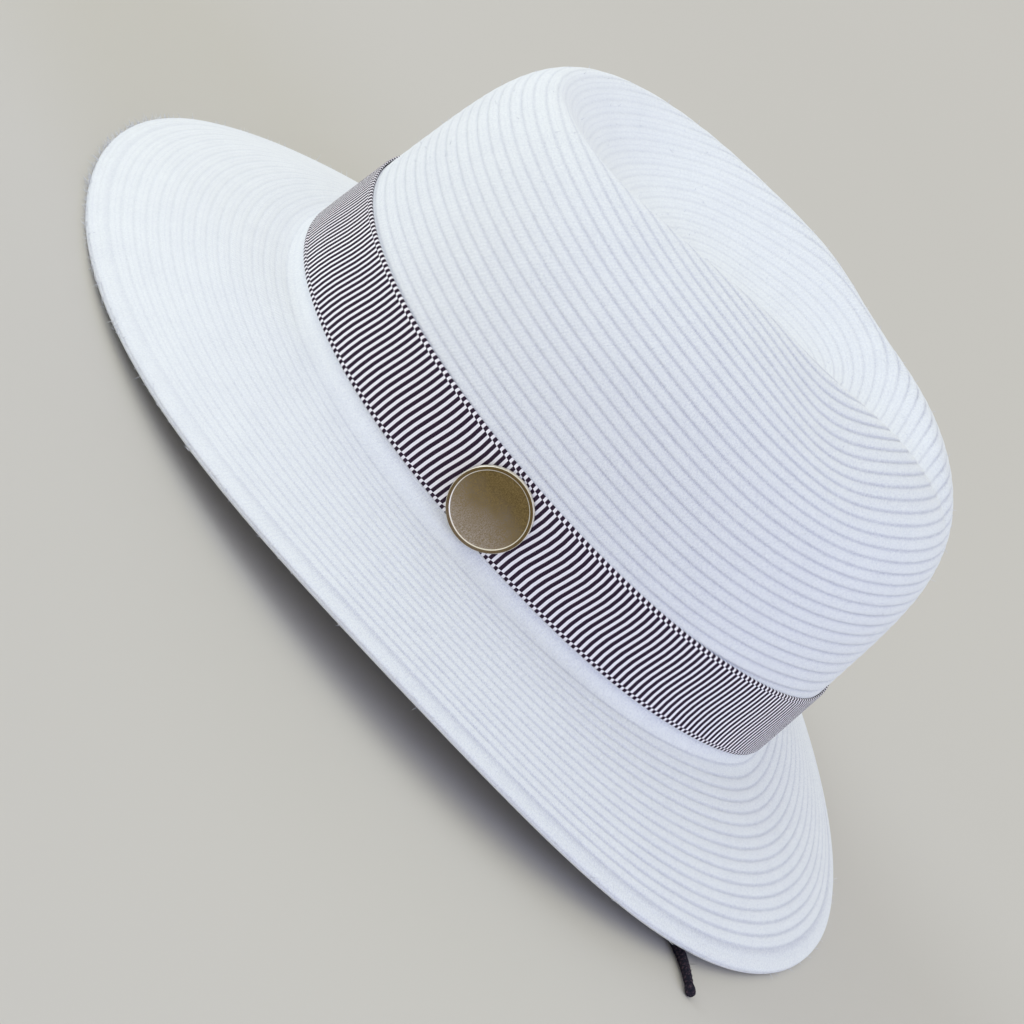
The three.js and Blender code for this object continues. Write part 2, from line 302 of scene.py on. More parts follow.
def srgb(text):
    # a colour given as it looks on the screen, as the linear one that nodes use
    shares = [int(text[k:k + 2], 16) / 255 for k in (1, 3, 5)]
    return tuple(s / 12.92 if s <= 0.04045 else ((s + 0.055) / 1.055) ** 2.4 for s in shares)


# The loose end of the drawstring. Its route is the one of the solid: down from the
# sweatband, out over the ground and under the brim's edge.
drawstring = {
    "diameter": 0.003,
    "length": 0.090,
    "sides": 16,
    "stepsPerPoint": 12,
    "strandTwists": 44,
    "relief": 0.00014,
    "reliefMiddle": 1.4,  # height of the strands that counts as the cord's own radius
    "endDiameter": 0.0029,
    "endLength": 0.0032,
    "neck": 0.18,  # how much thinner the cord is just before its sealed end
    "neckLength": 0.012,
    "gap": 0.0003,
    "dark": "#1B1B28",
    "light": "#5A4650",
}
cordRoute = np.array([
    (-0.0510, -0.0702, 0.0300), (-0.0511, -0.0704, 0.0248), (-0.0514, -0.0708, 0.0190),
    (-0.0522, -0.0720, 0.0134), (-0.0541, -0.0746, 0.0084), (-0.0572, -0.0788, 0.0046),
    (-0.0612, -0.0840, 0.0023), (-0.0656, -0.0896, 0.0017), (-0.0698, -0.0957, 0.0016),
    (-0.0733, -0.1019, 0.0016), (-0.0765, -0.1080, 0.0016), (-0.0798, -0.1137, 0.0016),
    (-0.0837, -0.1185, 0.0016), (-0.0884, -0.1221, 0.0016), (-0.0935, -0.1252, 0.0016),
])


def smoothRoute(points, steps):
    # a Catmull-Rom curve: through each point, parallel there to the line between
    # its two neighbours
    ends = np.vstack([2 * points[0] - points[1], points, 2 * points[-1] - points[-2]])
    before, first, second, after = ends[:-3], ends[1:-2], ends[2:-1], ends[3:]
    t = np.linspace(0, 1, steps, endpoint=False)[None, :, None]
    before, first, second, after = (p[:, None, :] for p in (before, first, second, after))
    curve = 0.5 * (
        2 * first + (second - before) * t + (2 * before - 5 * first + 4 * second - after) * t**2
        + (3 * first - before - 3 * second + after) * t**3
    )
    return np.vstack([curve.reshape(-1, 3), points[-1:]])


def tube(name, route, radius, relief, sides, upright, stitches, rows):
    # rings of the radius plus its relief (rings x sides) square to the route, with
    # both ends closed by a ring of no radius
    along = unit(np.gradient(route, axis=0))
    side = unit(upright - along * (along @ upright)[:, None])
    other = np.cross(along, side)
    turn = np.arange(sides) / sides * 2 * np.pi
    reach = (np.asarray(radius).reshape(-1, 1) + relief)[..., None]
    ring = side[:, None] * np.cos(turn)[None, :, None] + other[:, None] * np.sin(turn)[None, :, None]
    points = route[:, None] + ring * reach
    points = np.concatenate([points[:1] * 0 + route[0], points, points[:1] * 0 + route[-1]])
    count = len(points) - 1
    v = np.linspace(0, rows, count + 1)
    return gridPiece(name, points, [stitches] * count, np.stack([v[:-1], v[1:]], 1))


def cordMaterial():
    material, start = startMaterial("drawstring_cord")
    u, v, _ = weaveMap(start)
    grain = placeInHat(start).noise(1800, 3, 0.6)
    strand = ((u + v) * math.pi).sine().size().least(((u - v) * math.pi).sine().size())
    light = strand.rise(0.1, 0.7) * grain.rise(0.40, 0.72) + grain.rise(0.58, 0.75) * 0.4
    colour = light.least(1).blend(srgb(drawstring["dark"]), srgb(drawstring["light"]))
    settings = {"Base Color": colour, "Roughness": 0.9, "Specular IOR Level": 0.2}
    return endMaterial(material, start, settings, strand * 0.7 + grain * 1.2, 0.00025)


def addDrawstring():
    route = smoothRoute(cordRoute, drawstring["stepsPerPoint"])
    radius = drawstring["diameter"] / 2
    sides = drawstring["sides"]
    length = np.linalg.norm(np.diff(route, axis=0), axis=1).sum()
    print("drawstring length", round(float(length), 4))
    turn = np.arange(sides) / sides * 2 * np.pi
    twist = np.linspace(0, drawstring["strandTwists"], len(route))[:, None] * np.pi
    # two families of strands cross over each other on the way along
    strands = np.abs(np.sin(2 * turn + twist)) + np.abs(np.sin(2 * turn - twist))
    relief = drawstring["relief"] * (strands - drawstring["reliefMiddle"])
    upright = np.array((0.8, -0.6, 0.0))
    left = np.linspace(length, 0, len(route)) / drawstring["neckLength"]
    thinner = 1 - drawstring["neck"] * np.maximum(1 - left, 0)
    cord = tube("drawstring_cord", route, radius * thinner, relief, sides, upright,
                4, drawstring["strandTwists"])
    material = cordMaterial()
    way = unit(cordRoute[-1] - cordRoute[-2])
    way[2] = 0
    endRadius = drawstring["endDiameter"] / 2
    share = np.array([0.0, 0.03, 0.15, 0.4, 0.7, 0.88, 0.97, 1.0])
    fullness = np.array([0.80, 0.90, 0.97, 1.0, 0.99, 0.95, 0.84, 0.66])
    start = cordRoute[-1] + way * drawstring["gap"]
    start[2] = endRadius + 0.0001
    endRoute = start + way * share[:, None] * drawstring["endLength"]
    draws = np.random.default_rng(11)
    rough = draws.normal(0, 0.00004, (len(share), sides)) * fullness[:, None]
    end = tube("cord_end", endRoute, endRadius * fullness, rough, sides, upright, 4, 2)
    finishPiece(end, material, "drawstring_cord", "drawstring_tip")
    finishPiece(cord, material, "drawstring_cord", "drawstring")


addDrawstring()


# Floor and light: a plain pale floor, a broad soft light from the back of the hat
# and above, three weaker ones in front, on the badge's side and on the far side,
# and even light from all round.
studio = {
    "floorSide": 9.0,
    "floor": "#CFCAC2",
    "sky": (0.98, 1.0, 0.90),
    "skyStrength": 0.80,
}
lights = {  # place, diameter, power, colour
    "key": ((0.0, 3.0, 1.05), 1.7, 36.0, (0.75, 0.85, 1.0)),
    "fill": ((-1.3, -2.3, 1.2), 1.7, 21.0, (0.40, 0.50, 1.0)),
    "near": ((-2.7, 0.0, 1.3), 1.7, 7.0, (0.20, 0.25, 1.0)),
    "edge": ((2.7, 0.5, 1.3), 1.7, 5.7, (0.35, 0.30, 1.0)),
}


def floorMaterial():
    material, start = startMaterial("studio_floor")
    cloud = placeInHat(start).noise(3.0, 2, 0.5).rise(0.3, 0.7)
    paint = srgb(studio["floor"])
    colour = (cloud * 0.25).blend(paint, tuple(c * 0.93 for c in paint))
    return endMaterial(material, start, {"Base Color": colour, "Roughness": 0.9})


def addLight(name, place, size, power, colour):
    data = bpy.data.lights.new(name, "AREA")
    data.shape = "DISK"
    data.size = size
    data.energy = power
    data.color = colour
    made = bpy.data.objects.new(name, data)
    back = unit(np.array(place) - np.array((0, 0, hat["footHeight"])))
    right = unit(np.cross((0, 0, 1), back))
    frameOf = np.eye(4)
    frameOf[:3, 0], frameOf[:3, 1] = right, np.cross(back, right)
    frameOf[:3, 2], frameOf[:3, 3] = back, place
    made.matrix_world = frameOf.T.tolist()
    scene.collection.objects.link(made)


def addStudio():
    half = studio["floorSide"] / 2
    corners = np.array([(-half, -half, 0), (half, -half, 0), (half, half, 0), (-half, half, 0)])
    floor = meshPiece("floor", corners, np.array([[0, 1, 2, 3]]))
    floor.data.materials.append(floorMaterial())
    for name, light in lights.items():
        addLight(name, *light)
    world = bpy.data.worlds.new("studio")
    world.use_nodes = True
    sky = world.node_tree.nodes["Background"]
    sky.inputs["Color"].default_value = (*studio["sky"], 1)
    sky.inputs["Strength"].default_value = studio["skyStrength"]
    scene.world = world


addStudio()
print("floor and lights made")


# The hat's own shape
def roundTheHat(values, angle):
    # the sum of cosines that meets the values given every 45 degrees
    last = len(values) - 1
    steps = np.arange(last + 1)
    share = np.where((steps == 0) | (steps == last), 0.5, 1.0)
    weight = np.cos(np.outer(steps, steps) * np.pi / last) @ (share * np.array(values))
    weight *= np.where((steps == 0) | (steps == last), 1.0, 2.0) / last
    return np.cos(np.asarray(angle)[..., None] * steps) @ weight


def outward(angle):
    return np.stack([np.sin(angle), -np.cos(angle)], -1)


def smoothStep(value, low, high):
    share = np.clip((value - low) / (high - low), 0, 1)
    return share * share * (3 - 2 * share)


def planAt(angle, spread):
    # a place in the plan between the braid's oval centre and the head oval; where
    # the crown is flat, its middle moves forward and its ovals grow longer
    angle = np.broadcast_to(angle, spread.shape)
    foot = roundTheHat(headReach, angle)[..., None] * outward(angle)
    longer = 1 - smoothStep(spread, 0.3, 0.8)
    half = hat["tipHalfLength"] + longer * (hat["rowsHalfLength"] - hat["tipHalfLength"])
    tip = np.stack([0 * spread, longer * hat["rowsMiddle"] - half * np.cos(angle)], -1)
    return spread[..., None] * foot + (1 - spread[..., None]) * tip


def settle(points):
    # lowers points by their part of the dips
    x, y, z = points[..., 0], points[..., 1], points[..., 2]
    angle = np.arctan2(x, -y)
    reach = roundTheHat(headReach, angle)
    width = roundTheHat(brimReach, angle) - reach
    left = 1 - smoothStep(np.hypot(x, y) - reach, 0, hat["dipShare"] * width)
    left = left * (1 - smoothStep(z - hat["footHeight"], hat["bandWidth"], hat["dipTop"]))
    depth = sum(deep * ((1 + np.cos(angle - where)) / 2) ** narrow for where, deep, narrow in dips)
    return np.stack([x, y, z - depth * left], -1)


def wallAt(angle, rise, offset=0.0):
    # a place on the straw's outside at a height above the fold, moved out by an
    # offset; the section is a superellipse that tapers upwards
    angle, rise, offset = np.broadcast_arrays(angle, rise, offset)
    squareness = roundTheHat(crownSquareness, angle)
    share = np.maximum(rise, 0) / hat["domeHeight"]
    spread = (1 - roundTheHat(crownTaper, angle) * share) * (1 - share**squareness) ** (1 / squareness)
    plan = planAt(angle, spread) + offset[..., None] * outward(angle)
    return settle(np.concatenate([plan, (hat["footHeight"] + rise)[..., None]], -1))


def insideDent(x, y):
    # 1 at the deepest place, 0 on the ridge, below 0 outside it: a half ellipse at
    # the back, and a tapering parabola towards the point at the front
    across = (x / hat["dentHalfWidth"]) ** 2
    behind = 1 - ((y - hat["dentWidestY"]) / (hat["dentBackY"] - hat["dentWidestY"])) ** 2 - across
    taper = 1 - ((hat["dentWidestY"] - y) / (hat["dentWidestY"] - hat["dentFrontY"])) ** 2
    ahead = taper - across / np.maximum(taper, 0.03)
    return np.where(y >= hat["dentWidestY"], behind, ahead)


def crownPoints(angle, share):
    # angle: columns, share: rings. The section at each angle is a superellipse that
    # tapers upwards, from the head oval to the tip. It is cut into equal lengths,
    # then lowered by the sag towards front and back, the dent and the pinches.
    samples = np.linspace(0, np.pi / 2, 601)
    power = 2 / roundTheHat(crownSquareness, angle)[:, None]
    upness = np.sin(samples) ** power
    spread = np.maximum(np.cos(samples), 0) ** power * (1 - roundTheHat(crownTaper, angle)[:, None] * upness)
    rise = hat["domeHeight"] * upness
    plan = planAt(angle[:, None], spread)
    steps = np.hypot(np.linalg.norm(np.diff(plan, axis=1), axis=-1), np.diff(rise, axis=1))
    length = np.concatenate([np.zeros((len(angle), 1)), np.cumsum(steps, axis=1)], axis=1)
    # all sections are looked up at once, each on its own stretch of one long line
    own = 2.0 * np.arange(len(angle))
    line = (own[:, None] + length / length[:, -1:]).ravel()
    rowStart = roundTheHat(braid["crownRowStart"], angle)
    share = share[:, None] * rowStart + share[:, None] ** 3 * (1 - rowStart)
    wanted = own[None, :] + np.clip(share, 0, 1)
    x, y, rise = (np.interp(wanted, line, part.ravel()) for part in (plan[..., 0], plan[..., 1], rise))
    upness = (rise / hat["domeHeight"]) ** 2
    sag = np.where(y < 0, hat["frontSag"], hat["backSag"]) * (y / hat["sagReach"]) ** 2 * upness
    inside = insideDent(x, y)
    dent = hat["dentDepth"] * (inside + np.hypot(inside, hat["ridgeRounding"])) / 2
    beside = (np.abs(x) - hat["pinchPlace"][0]) / hat["pinchSpread"][0]
    ahead = (y - hat["pinchPlace"][1]) / hat["pinchSpread"][1]
    pinch = hat["pinchDepth"] * np.exp(-beside**2 - ahead**2) * upness
    height = hat["footHeight"] + rise - sag - dent - pinch
    return settle(np.stack([x, y, height], -1))


# The braid. Rows are numbered from the fold to the tip on the crown, and inwards on
# the brim. Each row is a soft rib whose lower edge laps over the next row.
braid = {
    "crownRows": 44,
    "crownRowStart": (1.19, 1.04, 0.98, 0.995, 1.0),  # height of the lower rows, round the hat
    "brimRows": 15,
    "crownColumns": 288,
    "brimColumns": 360,
    "stitchLength": 0.00115,
    "innerRelief": 0.4,
    "brimDepth": 0.95,
    "brimBackLoss": 0.62,
    "crownBackLoss": 0.5,
    "dentLoss": 0.55,
    "wobble": 0.16,
    "wobbleWaves": (5, 9, 14, 23, 37),
}
ribProfile = np.array([  # share of the row from its lower edge, height in metres
    (0.00, -0.00022),
    (0.10, 0.00004),
    (0.26, 0.00013),
    (0.52, 0.00010),
    (0.78, 0.00002),
    (0.92, -0.00012),
])


def ribHeight(row):
    shares = np.append(ribProfile[:, 0], 1.0)
    heights = np.append(ribProfile[:, 1], ribProfile[0, 1])
    return np.interp(np.mod(row, 1.0), shares, heights)


def rowDepthAt(points, onBrim):
    # how deep the grooves are, and how strong their painted shade: the rows are pressed flatter
    # in the dent, at the back and on the side of the brim, and there their painted groove shade
    # is weaker too, as light from the back falls straight into the grooves
    x, y = points[..., 0], points[..., 1]
    back = smoothStep(y, -0.02, 0.10)
    if onBrim:
        front = smoothStep(-y, 0.02, 0.10)
        return braid["brimDepth"] + (1 - braid["brimDepth"]) * front - braid["brimBackLoss"] * back
    dent = smoothStep(insideDent(x, y), -0.04, 0.25)
    return (1 - braid["crownBackLoss"] * back) * (1 - braid["dentLoss"] * dent)


def handWork(row, angle, seed):
    # slow waves with their own phase in each row, so that no two rows are alike
    draws = np.random.default_rng(seed)
    number = np.floor(row + 1e-6).astype(int)
    waves = np.array(braid["wobbleWaves"])
    phase = draws.uniform(0, 2 * np.pi, (number.max() + 1, len(waves)))[number]
    size = braid["wobble"] / np.sqrt(len(waves))
    return size * np.sin(angle[None, :, None] * waves + phase[:, None, :]).sum(-1)


def stitchCounts(points):
    # whole stitches round each ring
    steps = np.linalg.norm(points - np.roll(points, 1, axis=1), axis=-1)
    return np.maximum(np.round(steps.sum(1) / braid["stitchLength"]), 8)


def rowCounts(points, row):
    # the count of each band between two rings is the one of its own row
    counts = stitchCounts(points)
    middle = np.floor((row[:-1] + row[1:]) / 2)
    return np.array([counts[:-1][middle == m].mean().round() for m in middle])


def addCrown():
    columns = braid["crownColumns"]
    angle = np.arange(columns) / columns * 2 * np.pi
    last = braid["crownRows"]
    firstRow = 2.7  # just above the collar, behind the ribbon
    outerRow = np.concatenate([[firstRow], (np.arange(3, last)[:, None] + ribProfile[:, 0]).ravel(), [last]])
    innerRow = np.concatenate([[firstRow], np.arange(3, last, 0.5), [last]])
    up = np.array((0.0, 0.0, 1.0))

    def surface(row):
        points = crownPoints(angle, row / last)
        normals = surfaceNormals(points)
        normals[-1] = up
        return points, normals

    base, normals = surface(outerRow)
    outerDepth = rowDepthAt(base, False)
    relief = ribHeight(outerRow)[:, None] * (1 + handWork(outerRow, angle, 3)) * outerDepth
    outer = base + normals * relief[..., None]
    base, normals = surface(innerRow)
    rowDepth = np.concatenate([rowDepthAt(base[::-1], False), outerDepth])
    depth = -hat["strawThickness"] - braid["innerRelief"] * ribHeight(innerRow)[:, None]
    depth = depth + 0 * angle[None]
    inner = base + normals * depth[..., None]
    points = np.concatenate([inner[::-1], outer])
    row = np.concatenate([innerRow[::-1], outerRow])
    counts = np.concatenate([rowCounts(inner[::-1], innerRow[::-1]), [8], rowCounts(outer, outerRow)])
    rows = np.stack([row[:-1], row[1:]], 1)
    crown = gridPiece("straw_crown", points, counts, rows, False, (0, len(points) - 1), rowDepth)
    finishPiece(crown, straw, "straw_braid", "crown")


brim = {
    # round the hat: width of the flat outermost strip, and of the smooth one by the fold
    "edgeBand": (0.0054, 0.0053, 0.0060, 0.0052, 0.0045),
    "smoothBand": (0.0012, 0.0030, 0.0061, 0.0046, 0.0018),
    "bandGroove": -0.00012,
}


def brimTop(angle, out):
    # height of the top at a distance outside the fold: it falls to the edge, a
    # little more steeply as it goes, and turns up into the fold
    width = roundTheHat(brimReach, angle) - roundTheHat(headReach, angle)
    edge = np.maximum(roundTheHat(brimEdgeHeight, angle), 0) + hat["strawThickness"]
    share = out / width
    radius = hat["foldRadius"]
    slope = share * (1 - hat["brimBow"]) + share**2 * hat["brimBow"]
    left = np.maximum(radius - out, 0) / radius
    fold = radius * (1 - np.sqrt(1 - left**2))
    return hat["footHeight"] - radius - (hat["footHeight"] - radius - edge) * slope + fold


def addBrim():
    columns = braid["brimColumns"]
    angle = np.arange(columns) / columns * 2 * np.pi
    reach = roundTheHat(headReach, angle)[None]
    width = roundTheHat(brimReach, angle)[None] - reach
    floor = np.maximum(roundTheHat(brimEdgeHeight, angle), 0)[None]
    rows = braid["brimRows"]
    edgeBand = roundTheHat(brim["edgeBand"], angle)[None]
    rowsFrom, rowsTo = roundTheHat(brim["smoothBand"], angle)[None], width - edgeBand

    def placed(out, height):
        out, height = np.broadcast_arrays(out, height)
        return settle(np.stack([(reach + out) * np.sin(angle), -(reach + out) * np.cos(angle), height], -1))

    def outAt(row):
        # row 0 starts at the edge band and the last row ends at the smooth strip
        return rowsTo + (rowsFrom - rowsTo) * np.asarray(row)[:, None] / rows

    topRow = np.append((np.arange(rows)[:, None] + ribProfile[:, 0]).ravel(), rows)
    topOut = outAt(topRow)
    top = placed(topOut, brimTop(angle, topOut))
    normals = surfaceNormals(top)
    relief = ribHeight(topRow)[:, None] * (1 + handWork(topRow, angle, 5)) * rowDepthAt(top, True)
    top = top + normals * relief[..., None]

    # the flat edge band has one faint groove along its middle
    share = np.array([0.24, 0.34, 0.44, 0.50, 0.56, 0.75, 0.90])[:, None]
    low = np.array([0, 0.3, 0.3, -1, 0.3, 0.3, 0.1])[:, None] * -brim["bandGroove"]
    bandOut = width - edgeBand * share
    band = placed(bandOut, brimTop(angle, bandOut) + low)

    # the edge itself: two layers of straw with a fine line between them
    side = np.array([  # in from the edge, share of the thickness below the top
        (0.00012, 0.72), (0.00000, 0.60), (0.00022, 0.50), (0.00000, 0.40), (0.00010, 0.24),
        (0.00034, 0.10), (0.00090, 0.00),
    ])
    edgeTop = brimTop(angle, width - 0.001)
    under = floor + 0.0001
    edge = placed(width - side[:, :1], edgeTop - side[:, 1:] * (edgeTop - under))
    foot = np.array([(0.0011, 1.0), (0.0004, 0.93)])
    edgeFoot = placed(width - foot[:, :1], edgeTop - foot[:, 1:] * (edgeTop - under))

    turn = np.array([0.12, 0.28, 0.42, 0.55, 0.68, 0.8, 0.9, 0.97])[:, None]
    foldOut = rowsFrom * (1 - turn)
    fold = placed(foldOut, brimTop(angle, foldOut))
    collar = wallAt(angle, np.array([[0.0], [hat["collarHeight"]]]))
    thick = hat["strawThickness"]
    inside = wallAt(angle, np.array([[hat["collarHeight"]], [-hat["foldRadius"]]]), -thick)

    # the underside has the same rows, fainter
    underRow = np.arange(rows, -0.1, -0.5)
    underOut = outAt(underRow)
    small = 0.0005
    slope = (brimTop(angle, underOut + small) - brimTop(angle, underOut)) / small
    wall = thick * np.hypot(1, np.minimum(np.abs(slope), 0.6))
    height = brimTop(angle, underOut) - wall - braid["innerRelief"] * ribHeight(underRow)[:, None]
    below = placed(underOut, np.maximum(height, under))
    lastOut = width - edgeBand * np.array([[0.6], [0.35]])
    lastUnder = placed(lastOut, np.maximum(brimTop(angle, lastOut) - thick * 1.08, under))

    parts = [edge, band, top, fold, collar, inside, below, lastUnder, edgeFoot]
    row = np.concatenate([
        np.full(len(edge), -0.5), -0.5 * (1 - share[:, 0]) - 0.001, topRow, rows + 0.1 + 0.8 * turn[:, 0],
        np.full(4, rows + 0.5), underRow, np.full(4, -0.5),
    ])
    points = np.concatenate(parts)
    counts = stitchCounts(points)
    following = np.roll(row, -1)
    number = np.floor((row + following) / 2)
    counts = np.array([counts[number == n].mean().round() for n in number])
    rows = np.stack([row, following], 1)
    brimPiece = gridPiece("straw_brim", points, counts, rows, closed=True, rowDepth=rowDepthAt(points, True))
    finishPiece(brimPiece, straw, "straw_braid", "brim")


strawLook = {
    "lit": "#F3F5F7",
    "shade": "#B9BBCE",
    "grooveShade": 0.32,
    "threadSlant": 1.15,  # threads that the slant passes over one row
    "threadShade": 0.10,
    "loopShade": 0.08,
    "cloudShade": 0.16,
    "evenShade": 0.10,
    "middleShade": 0.12,
    "bump": 0.00012,
}


def strawMaterial():
    material, start = startMaterial("white_straw_braid")
    u, v, _ = weaveMap(start)
    place = placeInHat(start)
    cloud = place.noise(110, 2, 0.5)
    fleck = place.noise(650, 2, 0.6)
    grain = place.noise(1700, 3, 0.7)
    fibre = place.noise(3600, 2, 0.6)
    rowDepth = start.node("ShaderNodeAttribute", {"attribute_name": "rowDepth"}, {}, 2)
    share = v.fraction()
    fromGroove = share.least(1 - share)
    groove = fromGroove.rise(0.24, 0.0)
    # threads cross each row at a slant, each a little out of step with the last; a
    # finer set of loops crosses them near the groove
    slipped = u - share * strawLook["threadSlant"] + v.floor() * 0.37 + (fleck - 0.5) * 1.1
    thread = ((slipped * (2 * math.pi)).sine() * 0.5 + 0.5) * (0.35 + grain * 0.9)
    loop = ((u * 2 + share * 1.6 + (grain - 0.5) * 1.6) * (2 * math.pi)).sine() * 0.5 + 0.5
    nearGroove = fromGroove.rise(0.42, 0.08)
    speckle = (0.5 - grain.rise(0.36, 0.64)) * 0.24 + (0.5 - fibre.rise(0.36, 0.64)) * 0.28
    shade = groove * strawLook["grooveShade"] * (0.30 + fleck * 0.7 + loop * 0.7)
    shade = shade + thread ** 3 * strawLook["threadShade"] + speckle
    # the painted shade in and near the grooves is weaker where rowDepth is low, where light falls straight
    # into them
    shade = (shade + nearGroove * loop * strawLook["loopShade"]) * rowDepth
    shade = shade + (0.5 - cloud) * strawLook["cloudShade"] + strawLook["evenShade"]
    # where the rows are flat, a faint line shows along the middle of each
    middle = (share - 0.5).size().rise(0.12, 0.0) * (1 - rowDepth).most(0)
    shade = shade + middle * strawLook["middleShade"] + (0.5 - grain) * (1 - rowDepth) * 0.4
    colour = shade.most(0).least(1).blend(srgb(strawLook["lit"]), srgb(strawLook["shade"]))
    height = (1 - thread) * 0.6 + nearGroove * (1 - loop) * 0.35 + grain * 1.7 + fibre * 1.0
    height = height * (0.25 + rowDepth * 0.75)
    settings = {"Base Color": colour, "Roughness": 0.85, "Sheen Weight": 0.1, "Sheen Roughness": 0.5}
    return endMaterial(material, start, settings, height, strawLook["bump"])


straw = strawMaterial()
addCrown()
addBrim()


# Loose fibres that stand off the straw's edges and the cord: bent three-sided
# spindles, all of one kind in one mesh.
fuzz = {
    "edgeFibres": 520,
    "crownFibres": 420,
    "threadFibres": 7,
    "threadAngle": -164.0,  # of the loose thread's end on the brim's edge
    "length": 0.0026,
    "width": 0.00016,
    "colour": "#F2F3F6",
    "shade": "#D5D7E2",
    "cordFibres": 70,
    "cordLength": 0.0008,
    "strayThread": (-0.0872, -0.1213, 0.0030),
    "strayLength": 0.0030,
    "aside": 0.55,  # how far a fibre leans off its way, as a share of it
    "bend": 0.45,
    "backSpread": 0.75,  # radians round the back of the brim's edge
    "threadSpread": 0.003,  # radians between the loose thread's fibres
    "threadLonger": 1.6,
    "edgeUpward": 0.35,
}


def addFibres(name, roots, ways, lengths, width, material, slot, seed):
    # each fibre is a parabola from its root: way * t + bend * t^2, thin at both ends
    draws = np.random.default_rng(seed)
    count = len(roots)
    ways = unit(ways + draws.normal(0, fuzz["aside"], (count, 3)))
    bend = draws.normal(0, fuzz["bend"], (count, 3))
    t = np.array([-0.08, 0.12, 0.45, 0.78, 1.0])[None, :, None]
    line = roots[:, None] + (ways[:, None] * t + bend[:, None] * t * t * 0.5) * lengths[:, None, None]
    side = unit(np.cross(ways, (0.31, 0.42, 0.85)))
    other = np.cross(ways, side)
    turn = np.arange(3) / 3 * 2 * np.pi
    ring = side[:, None] * np.cos(turn)[None, :, None] + other[:, None] * np.sin(turn)[None, :, None]
    thick = width / 2 * np.array([1.0, 0.85, 0.55])
    middle = line[:, 1:4, None] + ring[:, None] * thick[None, :, None, None]
    points = np.concatenate([line[:, :1], middle.reshape(count, 9, 3), line[:, 4:]], axis=1)
    points[..., 2] = np.maximum(points[..., 2], width)
    faces = [(0, 2, 1), (0, 3, 2), (0, 1, 3), (10, 7, 8), (10, 8, 9), (10, 9, 7)]
    for low in (1, 4):
        for k in range(3):
            a, b = low + k, low + (k + 1) % 3
            faces += [(a, b, b + 3), (a, b + 3, a + 3)]
    pointsEach = points.shape[1]
    faces = (np.array(faces)[None] + pointsEach * np.arange(count)[:, None, None]).reshape(-1, 3)
    finishPiece(meshPiece(name, points.reshape(-1, 3), faces), material, slot)


def fibreMaterial(name, colour, shade):
    material, start = startMaterial(name)
    grain = placeInHat(start).noise(900, 2, 0.5)
    paint = grain.rise(0.3, 0.7).blend(srgb(colour), srgb(shade))
    return endMaterial(material, start, {"Base Color": paint, "Roughness": 0.8})


def addStrawFuzz():
    draws = np.random.default_rng(21)
    # most of the edge's fibres are at the back
    angle = np.pi + draws.normal(0, fuzz["backSpread"], fuzz["edgeFibres"])
    angle[::5] = draws.uniform(0, 2 * np.pi, len(angle[::5]))
    thread = np.radians(fuzz["threadAngle"]) + draws.normal(0, fuzz["threadSpread"], fuzz["threadFibres"])
    angle = np.concatenate([angle, thread])
    reach = roundTheHat(brimReach, angle)
    top = np.maximum(roundTheHat(brimEdgeHeight, angle), 0) + hat["strawThickness"]
    height = top - draws.uniform(0.1, 0.9, len(angle)) * hat["strawThickness"]
    edge = np.concatenate([outward(angle) * reach[:, None], height[:, None]], axis=1)
    edgeWays = np.concatenate([outward(angle), np.full((len(angle), 1), fuzz["edgeUpward"])], axis=1)
    lengths = fuzz["length"] * draws.uniform(0.3, 1.0, len(angle))
    lengths[-fuzz["threadFibres"]:] *= fuzz["threadLonger"]

    columns = 120
    around = np.arange(columns) / columns * 2 * np.pi
    share = np.linspace(0.25, 0.9, 60)
    crown = crownPoints(around, share)
    normals = surfaceNormals(crown).reshape(-1, 3)
    picked = draws.choice(len(normals), fuzz["crownFibres"], replace=False)
    roots = np.concatenate([edge, crown.reshape(-1, 3)[picked]])
    ways = np.concatenate([edgeWays, normals[picked]])
    crownLengths = fuzz["length"] * draws.uniform(0.2, 0.6, len(picked))
    lengths = np.concatenate([lengths, crownLengths])
    material = fibreMaterial("straw_fuzz", fuzz["colour"], fuzz["shade"])
    addFibres("straw_fuzz", roots, ways, lengths, fuzz["width"], material, "straw_braid", 22)


def addCordFuzz():
    draws = np.random.default_rng(31)
    route = smoothRoute(cordRoute[-8:], drawstring["stepsPerPoint"])
    picked = draws.integers(0, len(route), fuzz["cordFibres"])
    ways = draws.normal(0, 1, (fuzz["cordFibres"], 3))
    ways[:, 2] = np.abs(ways[:, 2])
    ways = unit(ways)
    roots = route[picked] + ways * drawstring["diameter"] * 0.47
    roots = np.concatenate([roots, [fuzz["strayThread"]]])
    ways = np.concatenate([ways, [(0.75, -0.6, 0.2)]])
    lengths = fuzz["cordLength"] * draws.uniform(0.4, 1.2, len(roots))
    lengths[-1] = fuzz["strayLength"]
    material = fibreMaterial("cord_fuzz", drawstring["dark"], drawstring["light"])
    addFibres("cord_fuzz", roots, ways, lengths, fuzz["width"], material, "drawstring_cord", 32)


addStrawFuzz()
addCordFuzz()


# The ribbon: one rib for each stripe, dark and light ones together a pitch of 2 mm.
ribbon = {
    "thickness": 0.0006,
    "gap": 0.0003,
    "fullness": 0.00005,
    "pairs": 289,
    "columnsPerPair": 6,
    "ribRelief": 0.00007,
    "dark": "#1E0D22",
    "light": "#FBF7FA",
    "checkWidth": 0.00115,
    "checkBlur": 0.004,
    "stripeEdge": (0.262, 0.292),  # dark turns to light between these shares of a pair
    "darkWorn": "#8A6F86",
    "lightWorn": "#D6D0DA",
}


def evenAngles(count):
    # angles that cut the head oval into steps of equal length
    fine = np.linspace(0, 2 * np.pi, 2881)
    reach = roundTheHat(headReach, fine)
    steps = np.hypot(np.diff(reach * np.sin(fine)), np.diff(reach * np.cos(fine)))
    length = np.concatenate([[0], np.cumsum(steps)])
    return np.interp(np.arange(count) / count * length[-1], length, fine)


